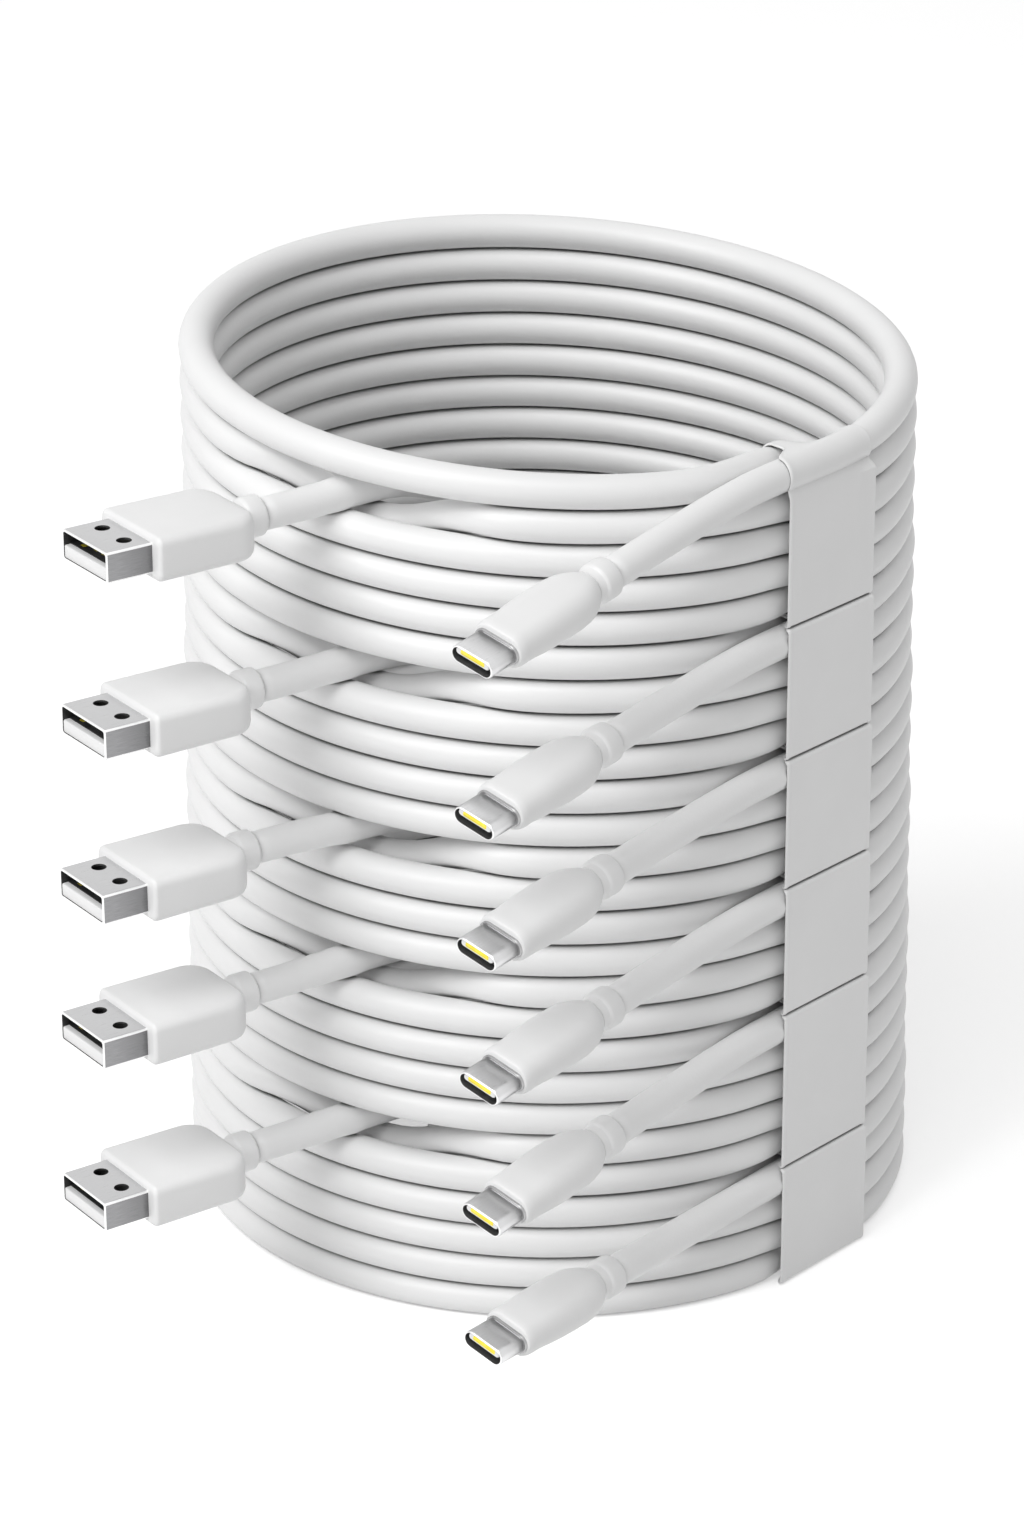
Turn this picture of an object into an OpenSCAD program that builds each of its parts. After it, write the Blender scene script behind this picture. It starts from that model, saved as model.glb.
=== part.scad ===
// Six USB-A to USB-C charging cables, each wound into a round coil and held by its
// own flat strap. The coils stand on each other as one hollow roll with a vertical axis.
// Azimuths are in degrees round that axis: 0 is the front (-Y), 90 the right (+X).

/* [Cable] */
// Outside diameter of the cable
cable_d = 4.8; // [4.4:0.1:4.8]

/* [Coils] */
// Radius of the top coil, to the middle of the cable
coil_r = 52.5; // [50:0.5:56]
// How much wider each coil is than the one above it
flare = 0.3; // [0:0.05:0.4]
// Height from one turn to the next, beside the straps
turn_pitch = 4.95; // [4.8:0.05:5]
// Share by which the turns stand looser on the far side from the straps
spread = 0.06; // [0:0.01:0.08]
// Extra height between two coils, where their straps lie
coil_gap = 0.6; // [0.5:0.1:1]

/* [Straps] */
// Azimuth of the strap's left edge
strap_from = 40; // [40:1:42]
// Azimuth of the strap's right edge
strap_to = 60; // [58:1:66]
// Thickness of the strap film
film_t = 0.3; // [0.2:0.05:0.3]

/* [USB-A plug] */
// Width of the metal shell
a_shell_w = 12; // [11.9:0.1:12.1]
// Height of the metal shell
a_shell_h = 4.5; // [4.4:0.1:4.6]
// Length of shell in front of the moulded grip
a_shell_l = 9; // [9:0.5:12]
// Width of the moulded grip
a_grip_w = 16; // [15:0.5:17]
// Thickness of the moulded grip
a_grip_h = 6.6; // [6:0.2:7.4]
// Length of the moulded grip
a_grip_l = 16.5; // [16:0.5:20]

/* [USB-C plug] */
// Width of the metal shell
c_shell_w = 8.3; // [8.2:0.05:8.4]
// Height of the metal shell
c_shell_h = 2.5; // [2.4:0.05:2.6]
// Length of shell in front of the moulded grip
c_shell_l = 6.6; // [6:0.1:7]
// Width of the moulded grip
c_grip_w = 11.2; // [10.6:0.2:12]
// Thickness of the moulded grip
c_grip_h = 6.2; // [5.8:0.2:6.6]
// Length of the moulded grip
c_grip_l = 18; // [17:0.5:21]

/* [Hidden] */

// Coils are numbered from 1 at the top. Turns of each, and the turn, counted from the
// top of the coil, at whose height the USB-A lead passes out through the wall. The
// bottom coil keeps its USB-A plug inside the hollow.
TURNS = [5, 4, 4, 4, 5, 4];
EXIT_TURN = [2, 2, 3, 3, 4, 0];
COILS = len(TURNS);
cable_r = cable_d / 2;
wrap_a = (strap_from + strap_to) / 2;
// The bottom turn is laid flat: a tenth of the cable's diameter is cut away.
floor_z = cable_r - cable_d / 10;

// Rings of the wound tubes and of the free ones
LOOP_RINGS = 24;
COIL_SIDES = 6;
LEAD_SIDES = 8;
UTURN_RINGS = 8;

// Where a coil starts and ends. It leaves the wall outward under the strap, and each
// turn steps down one place in front of the strap, while the last one dives inward.
leave_a = 52;
// The leaving end runs straight, past the strap's edge.
tail_l = 11.8;
step_from = 10;
step_to = 36;
dive_in = 6.4;
// In the hollow it turns back on this radius and heads for the wall again.
uturn_r = 14;
OUT_HEADING = [218, 218, 218, 218, 218, 180];
// The turn at the exit's height swings inward and down below the lead, over this angle
// on each side, and stays there for the last tenth of it.
swing_a = 28;
swing_in = 5.5;
swing_hold = 0.1;

// Free leads: plan distance along each, and the share of its rise or drop made there
LEAD_A = [[0, 0], [5, 0], [11, 0.14], [18, 0.5], [25, 0.84], [31, 0.97], [37, 1]];
// From there on a USB-A lead is level. This is the whole plan distance to its plug.
LEAD_A_L = [56, 57.5, 59, 60, 61];
LEAD_A_SHORT = [[0, 0], [3, 0], [10, 1], [13, 1]];
LEAD_C = [[0, 0], [6, 0], [17, 0.3], [28, 0.68], [37, 1]];
// How far each USB-C lead sags on its way to the plug, and how far the plug has rolled
C_DROP = [4, 3, 2.5, 2.5, 2.5, 0];
c_roll = -14;

// ---- small helpers ----

// 0 to 1 along half a cosine wave
function ramp(x) = (1 - cos(180 * min(max(x, 0), 1))) / 2;
function unit(v) = v / norm(v);
function sum(v, i = 0) = i >= len(v) ? 0 : v[i] + sum(v, i + 1);
function plan(a, r) = [r * sin(a), -r * cos(a)];
function heading(a) = [cos(a), sin(a)];
function left_of(a) = [-sin(a), cos(a)];
function raise(p, z) = [p[0], p[1], z];

// ---- where the turns lie ----

function radius(i) = coil_r + (i - 1) * flare;
function turns(i) = TURNS[i - 1];
function pitch_at(a) = turn_pitch * (1 + spread / 2 * (1 - cos(a - wrap_a)));
function turns_below(i) = i == COILS ? 0 : sum([for (k = [i:COILS - 1]) TURNS[k]]);
// Height of a place in coil i: place 0 is its bottom turn.
function place_z(i, place, a) =
    floor_z + (turns_below(i) + place) * pitch_at(a) + (COILS - i) * coil_gap;

// How far a turn is through its step, from 0 to 90 degrees, at angle u past the front
function step(u) = 90 * ramp((u - step_from) / (step_to - step_from));
// The place of the wound cable at angle u along it, which counts up from leave_a
function wound_place(i, u) =
    turns(i) - 1 - sum([for (k = [1:turns(i) - 1]) 1 - cos(step(u - 360 * k))]);
function dive(i, u) = dive_in * sin(step(u - 360 * turns(i)));
// How far the turn behind the USB-A lead has swung, from 0 to 90 degrees
function swing(i, u) = EXIT_TURN[i - 1] == 0 ? 0
    : 90 * ramp((1 - abs(u - 360 * EXIT_TURN[i - 1] - exit_a(i)) / swing_a) / (1 - swing_hold));
function wound_point(i, u) =
    let (s = swing(i, u), r = radius(i) - dive(i, u) - swing_in * sin(s))
    raise(plan(u, r), place_z(i, wound_place(i, u) - 1 + cos(s), u));

// ---- the turn back in the hollow ----

function dive_end(i) = plan(step_to, radius(i) - dive_in);
function uturn_centre(i) = dive_end(i) + uturn_r * left_of(step_to);
function uturn_end(i) = uturn_centre(i) - uturn_r * left_of(OUT_HEADING[i - 1]);
function inner_z(i) = place_z(i, 0, step_to);
// Plan distance from the turn's end to where the lead passes over the swung turn
function way_out(i) =
    let (h = OUT_HEADING[i - 1], p = uturn_end(i), q = p * left_of(h), r = radius(i) - swing_in)
    sqrt(r * r - q * q) - p * heading(h);
function exit_point(i) = uturn_end(i) + way_out(i) * heading(OUT_HEADING[i - 1]);
function exit_a(i) = let (p = exit_point(i)) atan2(p[0], -p[1]);

// ---- centre lines ----

LOOP_STEP = 360 / LOOP_RINGS;
// Angles along the winding: a ring each LOOP_STEP, and twice as many at a swing or dive
function wound_angles(i) =
    let (last = 360 * turns(i) + step_to,
         e = EXIT_TURN[i - 1] == 0 ? last : 360 * EXIT_TURN[i - 1] + exit_a(i))
    concat([leave_a], [for (u = [4 * LOOP_STEP:LOOP_STEP:last - LOOP_STEP / 2])
        each (min(abs(u - e), abs(u - last)) < 1.5 * LOOP_STEP ? [u, u + LOOP_STEP / 2] : [u])], [last]);
function c_start(i) = plan(leave_a, radius(i)) - tail_l * heading(leave_a);
function coil_path(i) =
    let (turn = OUT_HEADING[i - 1] - step_to, c = uturn_centre(i), z = inner_z(i))
    concat(
        [raise(c_start(i), place_z(i, turns(i) - 1, leave_a))],
        [for (u = wound_angles(i)) wound_point(i, u)],
        [for (k = [1:UTURN_RINGS]) raise(c - uturn_r * left_of(step_to + turn * k / UTURN_RINGS), z)],
        [raise(uturn_end(i) + cable_d * heading(OUT_HEADING[i - 1]), z)]);

function lead_a_points(i) = i == COILS ? LEAD_A_SHORT : concat(LEAD_A, [[LEAD_A_L[i - 1], 1]]);
function lead_a_z(i, share) =
    let (low = inner_z(i), high = i == COILS ? a_grip_h / 2
        : place_z(i, turns(i) - EXIT_TURN[i - 1], exit_a(i)))
    low + (high - low) * share;
function lead_a_path(i) =
    let (h = heading(OUT_HEADING[i - 1]), from = uturn_end(i) + cable_d * h)
    [for (k = lead_a_points(i)) raise(from + k[0] * h, lead_a_z(i, k[1]))];

c_heading = 180 + leave_a;
function lead_c_path(i) =
    let (h = heading(c_heading), z = place_z(i, turns(i) - 1, leave_a))
    [for (k = LEAD_C) raise(c_start(i) + k[0] * h, z - k[1] * C_DROP[i - 1])];
// How steeply a USB-C lead points down at its end
function c_droop(i) = let (a = LEAD_C[len(LEAD_C) - 2], b = LEAD_C[len(LEAD_C) - 1])
    atan2((b[1] - a[1]) * C_DROP[i - 1], b[0] - a[0]);

// ---- swept tube ----

function tangent(path, k) =
    unit(path[min(k + 1, len(path) - 1)] - path[max(k - 1, 0)]);
film_room = 0.15;
// The lowest that the cable may reach: the floor, or the film of the bottom strap on it,
// up to the rings next to the strap
function floor_at(p) = let (a = atan2(p[0], -p[1]))
    a > strap_from - LOOP_STEP && a < strap_to + LOOP_STEP && norm([p[0], p[1]]) > coil_r - cable_d
        ? film_t + film_room : 0;
// One ring of a tube. No point goes below the floor, which lays the bottom turn flat.
function ring(path, k, sides) =
    let (t = tangent(path, k), side = unit(cross([0, 0, 1], t)), up = cross(t, side), low = floor_at(path[k]))
    [for (n = [0:sides - 1]) let (a = 360 * n / sides,
        p = path[k] + cable_r * (cos(a) * side + sin(a) * up)) [p[0], p[1], max(p[2], low)]];
function tube_faces(rings, sides) = concat(
    [for (k = [0:rings - 2], n = [0:sides - 1]) let (m = (n + 1) % sides, a = k * sides, b = a + sides)
        each [[a + n, b + n, b + m], [a + n, b + m, a + m]]],
    [for (n = [1:sides - 2]) [0, n, n + 1]],
    [for (n = [1:sides - 2]) let (e = (rings - 1) * sides) [e, e + n + 1, e + n]]);
module tube(path, sides) {
    points = [for (k = [0:len(path) - 1]) each ring(path, k, sides)];
    polyhedron(points = points, faces = tube_faces(len(path), sides));
}

// The least gap of a coil to itself, measured between the points of its rings
function least_gap(path) = let (rings = [for (k = [0:len(path) - 1]) ring(path, k, COIL_SIDES)])
    min([for (k = [0:len(path) - 1], m = [k + LOOP_RINGS / 3:1:len(path) - 1])
        if (norm(path[k] - path[m]) < 3 * cable_d) min([for (p = rings[k], q = rings[m]) norm(p - q)])]);

// ---- wound and free cable ----

module coil(i) {
    path = coil_path(i);
    echo(coil = i, least_gap_mm = least_gap(path));
    color("white") tube(path, COIL_SIDES);
}

module lead_a(i) {
    color("white") tube(lead_a_path(i), LEAD_SIDES);
}

module lead_c(i) {
    color("white") tube(lead_c_path(i), LEAD_SIDES);
}

// ---- strap ----

// A thin flat band round all turns of one coil
strap_room = 0.1;
lead_room = 1.6;
module strap(i) {
    flat = cable_r * cos(180 / COIL_SIDES) + strap_room;
    low = max(place_z(i, 0, wrap_a) - flat, film_t);
    high = place_z(i, turns(i) - 1, wrap_a) + flat;
    near = radius(i) * cos(LOOP_STEP / 2) - cable_r - strap_room;
    far = radius(i) + cable_r + lead_room;
    color("white") rotate([0, 0, strap_from - 90]) rotate_extrude(angle = strap_to - strap_from)
        difference() {
            translate([near - film_t, low - film_t])
                square([far - near + 2 * film_t, high - low + 2 * film_t]);
            translate([near, low]) square([far - near, high - low]);
        }
}

// ---- plugs, modelled along +X from the end of the lead ----

// A rounded slab across X: two sides of the outline are half circles of the corner radius
module slab(x, l, w, h, r) {
    translate([x, 0, 0]) rotate([90, 0, 90]) linear_extrude(l) {
        square([w - 2 * r, h], center = true);
        square([w, h - 2 * r], center = true);
        for (sx = [-1, 1], sy = [-1, 1])
            translate([sx * (w / 2 - r), sy * (h / 2 - r)]) circle(r, $fn = 32);
    }
}

collar_l = 3;
collar_d = 6;
neck_l = 1;
neck_d = 5.2;
// Ring and short neck behind a grip
module collar() {
    rotate([0, 90, 0]) cylinder(d = collar_d, h = collar_l, $fn = 32);
    translate([collar_l, 0, 0]) rotate([0, 90, 0]) cylinder(d = neck_d, h = neck_l, $fn = 32);
}
grip_x = collar_l + neck_l;

module usb_a_place(i) {
    path = lead_a_path(i);
    translate(path[len(path) - 1]) rotate([0, 0, OUT_HEADING[i - 1]]) children();
}

a_wall = 0.3;
a_shell_r = 0.4;
a_grip_r = 1.6;
// The grip narrows and thins over this length at its rear
a_shoulder = 3.2;
a_rear_thin = 1;
slice = 0.5;
// Grip with its round rear shoulders, the ring behind it and the cable's seat
module usb_a_grip(i) {
    color("white") usb_a_place(i) {
        collar();
        hull() {
            slab(grip_x, slice, a_grip_w - 2 * a_shoulder, a_grip_h - a_rear_thin, a_grip_r);
            slab(grip_x + a_shoulder, slice, a_grip_w, a_grip_h, a_grip_r);
        }
        slab(grip_x + a_shoulder, a_grip_l - a_shoulder, a_grip_w, a_grip_h, a_grip_r);
    }
}

a_hole_d = 2.2;
a_hole_x = 4.2;
a_hole_y = 2.6;
module usb_a_shell(i) {
    x = grip_x + a_grip_l;
    color("silver") usb_a_place(i) difference() {
        slab(x, a_shell_l, a_shell_w, a_shell_h, a_shell_r);
        translate([x - 1, -a_shell_w / 2 + a_wall, -a_shell_h / 2 + a_wall])
            cube([a_shell_l + 2, a_shell_w - 2 * a_wall, a_shell_h - 2 * a_wall]);
        for (side = [-1, 1])
            translate([x + a_hole_x, side * a_hole_y, -a_shell_h])
                cylinder(d = a_hole_d, h = 2 * a_shell_h, $fn = 32);
    }
}

a_tongue_h = 1.9;
a_tongue_back = 1.2;
a_mouth_in = 0.3;
// Tongue in the lower half of the shell, with a full-height block at its root
module usb_a_tongue(i) {
    x = grip_x + a_grip_l;
    w = a_shell_w - 2 * a_wall;
    h = a_shell_h - 2 * a_wall;
    color("white") usb_a_place(i) {
        translate([x, -w / 2, -h / 2]) cube([a_shell_l - a_mouth_in, w, a_tongue_h]);
        translate([x, -w / 2, -h / 2]) cube([a_tongue_back, w, h]);
    }
}

module usb_c_place(i) {
    path = lead_c_path(i);
    translate(path[len(path) - 1])
        rotate([c_roll, c_droop(i), c_heading]) children();
}

// The grip swells from the neck over its rear and narrows to a rim round the shell
c_rear = 4;
c_front = 6;
c_rim_w = 0.7;
c_rim_h = 0.9;
c_flat = 0.1;
c_slice = 0.2;
module usb_c_grip(i) {
    nose_h = c_shell_h + 2 * c_rim_h;
    color("white") usb_c_place(i) {
        collar();
        hull() {
            translate([grip_x, 0, 0]) rotate([0, 90, 0]) cylinder(d = neck_d, h = c_slice, $fn = 32);
            slab(grip_x + c_rear, c_grip_l - c_rear - c_front, c_grip_w, c_grip_h, c_grip_h / 2 - c_flat);
            slab(grip_x + c_grip_l - c_slice, c_slice, c_shell_w + 2 * c_rim_w, nose_h, nose_h / 2 - c_flat);
        }
    }
}

c_wall = 0.3;
// Half of the small flat left at the shell's rounded sides
c_side = 0.05;
// What fills the shell's bore, of length l from x on
module c_bore(x, l) {
    slab(x, l, c_shell_w - 2 * c_wall, c_shell_h - 2 * c_wall, c_shell_h / 2 - c_wall - c_side);
}
module usb_c_shell(i) {
    x = grip_x + c_grip_l;
    color("silver") usb_c_place(i) difference() {
        slab(x, c_shell_l, c_shell_w, c_shell_h, c_shell_h / 2 - c_side);
        c_bore(x - 1, c_shell_l + 2);
    }
}

c_slot_w = 6.7;
c_slot_h = 0.9;
c_slot_l = 5.2;
c_mouth_in = 0.2;
// Lining of the shell, with the slot that the socket's tongue goes into
module usb_c_insert(i) {
    x = grip_x + c_grip_l;
    color("gold") usb_c_place(i) difference() {
        c_bore(x, c_shell_l - c_mouth_in);
        translate([x + c_shell_l - c_slot_l, -c_slot_w / 2, -c_slot_h / 2])
            cube([c_slot_l + 1, c_slot_w, c_slot_h]);
    }
}

// ---- assembly ----

coil(1);  // coil_1
strap(1);  // strap_1
lead_a(1);  // lead_a_1
lead_c(1);  // lead_c_1
usb_a_grip(1);  // usb_a_grip_1
usb_a_shell(1);  // usb_a_shell_1
usb_a_tongue(1);  // usb_a_tongue_1
usb_c_grip(1);  // usb_c_grip_1
usb_c_shell(1);  // usb_c_shell_1
usb_c_insert(1);  // usb_c_insert_1
coil(2);  // coil_2
strap(2);  // strap_2
lead_a(2);  // lead_a_2
lead_c(2);  // lead_c_2
usb_a_grip(2);  // usb_a_grip_2
usb_a_shell(2);  // usb_a_shell_2
usb_a_tongue(2);  // usb_a_tongue_2
usb_c_grip(2);  // usb_c_grip_2
usb_c_shell(2);  // usb_c_shell_2
usb_c_insert(2);  // usb_c_insert_2
coil(3);  // coil_3
strap(3);  // strap_3
lead_a(3);  // lead_a_3
lead_c(3);  // lead_c_3
usb_a_grip(3);  // usb_a_grip_3
usb_a_shell(3);  // usb_a_shell_3
usb_a_tongue(3);  // usb_a_tongue_3
usb_c_grip(3);  // usb_c_grip_3
usb_c_shell(3);  // usb_c_shell_3
usb_c_insert(3);  // usb_c_insert_3
coil(4);  // coil_4
strap(4);  // strap_4
lead_a(4);  // lead_a_4
lead_c(4);  // lead_c_4
usb_a_grip(4);  // usb_a_grip_4
usb_a_shell(4);  // usb_a_shell_4
usb_a_tongue(4);  // usb_a_tongue_4
usb_c_grip(4);  // usb_c_grip_4
usb_c_shell(4);  // usb_c_shell_4
usb_c_insert(4);  // usb_c_insert_4
coil(5);  // coil_5
strap(5);  // strap_5
lead_a(5);  // lead_a_5
lead_c(5);  // lead_c_5
usb_a_grip(5);  // usb_a_grip_5
usb_a_shell(5);  // usb_a_shell_5
usb_a_tongue(5);  // usb_a_tongue_5
usb_c_grip(5);  // usb_c_grip_5
usb_c_shell(5);  // usb_c_shell_5
usb_c_insert(5);  // usb_c_insert_5
coil(6);  // coil_6
strap(6);  // strap_6
lead_a(6);  // lead_a_6
lead_c(6);  // lead_c_6
usb_a_grip(6);  // usb_a_grip_6
usb_a_shell(6);  // usb_a_shell_6
usb_a_tongue(6);  // usb_a_tongue_6
usb_c_grip(6);  // usb_c_grip_6
usb_c_shell(6);  // usb_c_shell_6
usb_c_insert(6);  // usb_c_insert_6
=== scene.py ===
"""Six USB-A to USB-C charging cables, each wound into a coil with its own flat film strap and
stacked as one hollow roll. Lengths are in millimetres until a mesh is made, then in metres.
Azimuths are in degrees round the roll's axis: 0 is the front (-Y), 90 the right (+X).
Cable 1 is at the top, and a list with an entry for each cable starts with it."""

import math

import bmesh
import bpy
from mathutils import Matrix, Vector


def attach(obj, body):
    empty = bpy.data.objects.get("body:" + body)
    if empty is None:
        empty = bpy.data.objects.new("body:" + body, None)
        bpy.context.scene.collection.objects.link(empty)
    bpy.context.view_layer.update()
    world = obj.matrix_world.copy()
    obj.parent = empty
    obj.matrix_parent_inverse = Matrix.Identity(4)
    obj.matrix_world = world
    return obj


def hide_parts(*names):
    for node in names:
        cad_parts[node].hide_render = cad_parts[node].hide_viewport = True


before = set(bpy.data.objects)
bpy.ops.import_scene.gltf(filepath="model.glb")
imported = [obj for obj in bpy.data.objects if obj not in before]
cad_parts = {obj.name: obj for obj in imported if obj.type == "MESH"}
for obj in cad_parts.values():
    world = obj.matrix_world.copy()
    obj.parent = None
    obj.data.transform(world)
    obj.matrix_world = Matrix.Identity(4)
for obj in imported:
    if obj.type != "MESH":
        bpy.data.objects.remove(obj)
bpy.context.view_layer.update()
MM = 0.001

# ---- the cable and its winding, as the CAD has them ----

CABLE_D = 4.8
CABLE_R = CABLE_D / 2
# Radius of the top coil's turns, and how much wider each coil below it is
COIL_R = 52.5
FLARE = 0.3
# Height from turn to turn at the straps, and the share by which it is larger on the far side
TURN_PITCH = 4.95
SPREAD = 0.06
# Extra height between two coils at the straps
COIL_GAP = 0.6
# Azimuths of the straps' edges
STRAP_FROM = 40
STRAP_TO = 60
WRAP_A = (STRAP_FROM + STRAP_TO) / 2
FILM = 0.3
# Room between the bottom strap's film on the floor and the cable on it
FILM_ROOM = 0.15
TURNS = [5, 4, 4, 4, 5, 4]
COILS = len(TURNS)
# The turn that makes room for the USB-A lead, counted from the top. 0 is none.
EXIT_TURN = [2, 2, 3, 3, 4, 0]
# The lowest turn is a little flat where it lies on the floor.
FLOOR_Z = CABLE_R - CABLE_D / 10
# The USB-C end leaves along the tangent at this azimuth, straight for this length.
LEAVE_A = 52
TAIL_L = 11.8
# The CAD's last turn has dived in this far at this azimuth and turns back at this radius. The
# USB-A lead runs out on the line that follows from them, here too.
DIVE_A = 36
DIVE_IN = 6.4
UTURN_R = 14
OUT_HEADING = [218, 218, 218, 218, 218, 180]
# Half the angle over which a turn makes room for a USB-A lead, how far it moves in, and the
# share of the angle in which it stays in
SWING_A = 28
SWING_IN = 5.5
SWING_HOLD = 0.1
# (distance along the USB-A lead, share of its rise), and each lead's length. The sixth lead is
# short and has its own rise.
LEAD_A = [(0, 0), (5, 0), (11, 0.14), (18, 0.5), (25, 0.84), (31, 0.97), (37, 1)]
LEAD_A_L = [56, 57.5, 59, 60, 61, 0]
LEAD_A_SHORT = [(0, 0), (3, 0), (10, 1), (13, 1)]
# (distance along the USB-C lead, share of its drop), and the drop
LEAD_C = [(0, 0), (6, 0), (17, 0.3), (28, 0.68), (37, 1)]
C_DROP = [4, 3, 2.5, 2.5, 2.5, 0]
C_HEADING = 180 + LEAVE_A
# How far a USB-C plug is turned about its own length
C_ROLL = -14

# ---- where the winding follows the photo more closely than the CAD's ----

# Beyond this angle from the straps the turns are pressed together and overlap by this much.
NEAR_STRAP = 8
TURN_ROOM = 0.03
# Here the turns step down and the last one dives in under the straps, where nothing shows it.
HIDDEN_FROM = 38
HIDDEN_TO = 62
# The first turn passes behind the leaving cable at this distance. It moves in softly, and comes
# out again over these degrees.
BEHIND = 4.85
BEHIND_SOFT = 0.6
BEHIND_FADE = 20
# The sixth cable turns past its heading by this angle and comes back, at this radius.
LAST_OVER = 35
LAST_R = 12.5
# How far each USB-A plug is raised over its turn, towards its height in the photo, over how much
# of its lead, and how much of that end stays level
A_RAISE = [-0.6, -0.3, 1, -0.3, 0, 0]
A_RAISE_L = 20
A_LEVEL_L = 4
# How much further out the USB-A plugs lie
A_FURTHER = 0.7
# The USB-A lead goes on this far past the end of the turn-back.
JOIN_L = 1
# Off its coil's radius by less than the first a cable is pressed by its neighbours, by more than
# the second it is round.
PRESSED_WITHIN = 0.6
ROUND_BEYOND = 2.1
# Degrees between the points of the winding, distance between the rings of the mesh
WOUND_STEP = 2
RING_STEP = 2.2
SOFTEN_ROUNDS = 3
TUBE_SIDES = 24

# ---- plugs, along +X from the end of the lead ----

COLLAR_L = 3
COLLAR_R = 3
NECK_L = 1
NECK_R = 2.6
GRIP_X = COLLAR_L + NECK_L
COLLAR_PROFILE = [
    (0, COLLAR_R - 0.5),
    (0, COLLAR_R - 0.25),
    (0.2, COLLAR_R - 0.05),
    (0.45, COLLAR_R),
    (COLLAR_L - 0.45, COLLAR_R),
    (COLLAR_L - 0.2, COLLAR_R - 0.07),
    (COLLAR_L, COLLAR_R - 0.3),
    (COLLAR_L + 0.1, NECK_R),
    (GRIP_X + 0.3, NECK_R),
]
# Length, width and height, of a shell in front of its grip. The USB-A grips reach further over
# the shells than in the CAD, and the USB-C plugs are slimmer, as in the photo.
A_SHELL = (7.2, 12, 4.5)
A_GRIP = (16.9, 16, 6.6)
C_SHELL = (5.3, 7.2, 2.7)
C_GRIP = (19, 9.2, 6)
# Where the shells come out of the grips
A_FACE = GRIP_X + A_GRIP[0]
C_FACE = GRIP_X + C_GRIP[0]
WALL = 0.3
# What is inside a shell stays this far off its wall.
FIT = 0.02
# USB-A grip: how much narrower and thinner it is behind its round shoulder, how far from the rear
# the shoulder starts, and its length. Its first ring is smaller still, for a soft edge.
A_NARROWER = 3.2
A_THINNER = 0.5
A_SHOULDER_X = 0.25
A_SHOULDER_L = 3.6
A_FIRST_NARROWER = 0.6
A_FIRST_THINNER = 0.2
# Its corners, the edge of its front, and its rear end as (half width, half height, corner)
A_CORNER = 1.5
A_FRONT_CORNER = 1.25
A_EDGE = 0.7
A_REAR = (3.4, 2.2, 1.6)
# The two holes in either broad side of the USB-A shell, and the seam in the lower one: its place,
# width and depth
A_HOLE_X = 2.6
A_HOLE_Y = 2.9
A_HOLE_D = 2.2
A_SEAM_Y = 1.4
A_SEAM_W = 0.1
A_SEAM_DEPTH = 0.12
# USB-A tongue, with a full-height root, and (place across, reach) of its contacts
A_TONGUE_H = 1.9
A_ROOT_L = 1.2
A_PIN_X = 4.1
A_PINS = [(-3.5, 5.4), (-1, 4.8), (1, 4.8), (3.5, 5.4)]
# USB-C grip as (share of the length, of the width, of the height, corner as a share of the height)
C_GRIP_SHAPE = [
    (0.0, 0.42, 0.76, 1.0),
    (0.008, 0.50, 0.82, 1.0),
    (0.025, 0.58, 0.86, 1.0),
    (0.06, 0.69, 0.91, 1.0),
    (0.10, 0.79, 0.95, 1.0),
    (0.15, 0.88, 0.98, 0.98),
    (0.21, 0.94, 1.0, 0.95),
    (0.30, 0.975, 1.0, 0.92),
    (0.45, 0.98, 1.0, 0.9),
    (0.60, 0.97, 0.99, 0.9),
    (0.70, 0.95, 0.97, 0.9),
    (0.78, 0.93, 0.93, 0.92),
    (0.85, 0.925, 0.89, 0.94),
    (0.92, 0.94, 0.87, 0.96),
    (0.965, 0.94, 0.85, 0.98),
    (0.985, 0.915, 0.81, 1.0),
    (0.997, 0.90, 0.78, 1.0),
    (1.0, 0.86, 0.70, 1.0),
]
# The USB-C shell's lip in front of the grip, the groove before it, and the rim of the mouth
C_LIP = 0.22
C_GROOVE = 0.1
C_RIM = 0.14
# Half height of the pale block in the USB-C mouth, how much narrower than the mouth it is on either
# side, and how far back from the mouth the dark block of painted shade ends
C_BLOCK_H = 0.54
C_BLOCK_IN = 0.4
C_SHADE_BACK = 1.3
# The contact strip on the block: half its height, how far its middle lies below the upper side
# of the mouth, and how far in from the shell's sides it ends
C_STRIP_H = 0.37
C_STRIP_DOWN = 0.51
C_STRIP_IN = 1.5

# ---- straps ----

# (degrees from either edge, share of the film's thickness, how far the hem stands proud)
HEM = [(0, 0.45, 0), (0.22, 0.95, 0.07), (0.5, 1, 0.1), (0.8, 1, 0.02), (1.2, 1, 0)]
STRAP_STEPS = 12
# How far the outer panel's edges lie off the turns
STRAP_OUT_LEFT = 1.3
STRAP_OUT_RIGHT = 1.0
# The panel's folds at its lower and upper end
FOLD_POINTS = 5
FOLD_R = 0.5
# Room between the film and the turns, and how far it is pressed in above and below them
FILM_OFF = 0.03
FILM_LAP = 0.02
# The top coil's film hugs the leaving cable from this angle on, above a fold this far below it.
HUG_FROM = -40
HUG_FOLD = 0.6
# Degrees by which the film is narrower at either edge behind the turns, the points over which it
# narrows, and its steps there
INNER_NARROWER = 3.5
INNER_EASE = 4
INNER_POINTS = 48
# Share of the film's thickness on either side of its middle line
HALF_SHEET = 0.45


def sin_d(a):
    return math.sin(math.radians(a))


def cos_d(a):
    return math.cos(math.radians(a))


def ramp(x):
    """0 to 1 along half a cosine wave."""
    return (1 - math.cos(math.pi * min(max(x, 0), 1))) / 2


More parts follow.
